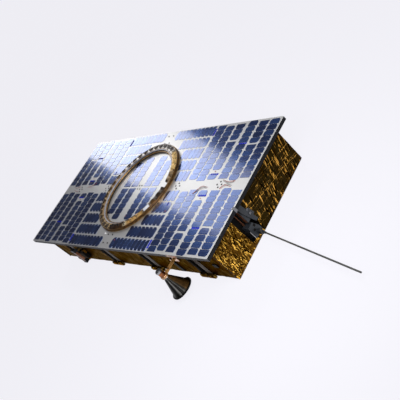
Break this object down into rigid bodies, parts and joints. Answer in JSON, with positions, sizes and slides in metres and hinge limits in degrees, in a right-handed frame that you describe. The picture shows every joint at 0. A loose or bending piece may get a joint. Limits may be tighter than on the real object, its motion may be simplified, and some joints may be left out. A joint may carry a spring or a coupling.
{
  "type": "small satellite",
  "caption": "Box-shaped satellite with a solar panel face, separation ring, horn antenna, folding whip antenna and gold foil sides.",
  "frame": {"origin": "centre of the back panel's outer face, on which the satellite lies", "axes": "+Z out of the solar face and through the ring, +X along the long side towards the whip antenna, -Y towards the horn antenna"},
  "size_m": [2.9045, 1.1, 0.344],
  "materials": {
    "back_plate": "satin plate",
    "black_structure": "black coated structure",
    "bright_metal": "polished",
    "copper": "copper tone",
    "dark_bracket": "dark anodised",
    "gold_foil": "crumpled gold foil blanket",
    "grey_metal": "satin grey",
    "horn_black": "dark polished spun metal",
    "horn_gold": "gold plate",
    "panel_edge": "dark sealed panel edge",
    "ring_gold": "gold-brown conversion coat",
    "solar_cell": "glossy cover glass over blue cells",
    "whip_grey": "dark grey rod",
    "white_face": "glossy white paint"
  },
  "bodies": {
    "root": {"array_core": "panel_edge", "array_skin": "white_face", "back_panel": "back_plate", "blanket_end_lower": "gold_foil", "blanket_end_upper": "gold_foil", "blanket_far_end": "gold_foil", "blankets_front": "gold_foil", "blankets_rear": "gold_foil", "box_core": "black_structure", "channel_rails_front": "grey_metal", "channel_rails_rear": "grey_metal", "channel_tube": "copper", "cradle_bar": "dark_bracket", "edge_clip": "grey_metal", "hinge_box": "dark_bracket", "hinge_pin": "bright_metal", "horn_arm": "horn_gold", "horn_bell": "horn_black", "horn_cap": "grey_metal", "horn_collar": "horn_gold", "horn_feed": "horn_gold", "horn_foot": "grey_metal", "lifting_tabs_front": "gold_foil", "lifting_tabs_rear": "gold_foil", "middle_cells_left_far": "solar_cell", "middle_cells_left_near": "solar_cell", "middle_cells_right_far": "solar_cell", "middle_cells_right_near": "solar_cell", "outer_cells_left_far": "solar_cell", "outer_cells_left_near": "solar_cell", "outer_cells_right_far": "solar_cell", "outer_cells_right_near": "solar_cell", "ring_body": "ring_gold", "ring_cells": "solar_cell", "ring_crown": "ring_gold", "ring_foot": "ring_gold", "ring_latch": "bright_metal", "ring_lip": "bright_metal", "sensor_frame": "dark_bracket", "sensor_plate": "copper", "sensor_side_box": "dark_bracket"},
    "whip": {"whip_knuckle": "whip_grey", "whip_rod": "whip_grey"}
  },
  "joints": [
    {"name": "whip_hinge", "type": "hinge", "parent": "root", "child": "whip", "pos_m": [1.052, -0.134, 0.048], "axis": [0, 0, 1], "range_deg": [0, 104]}
  ]
}
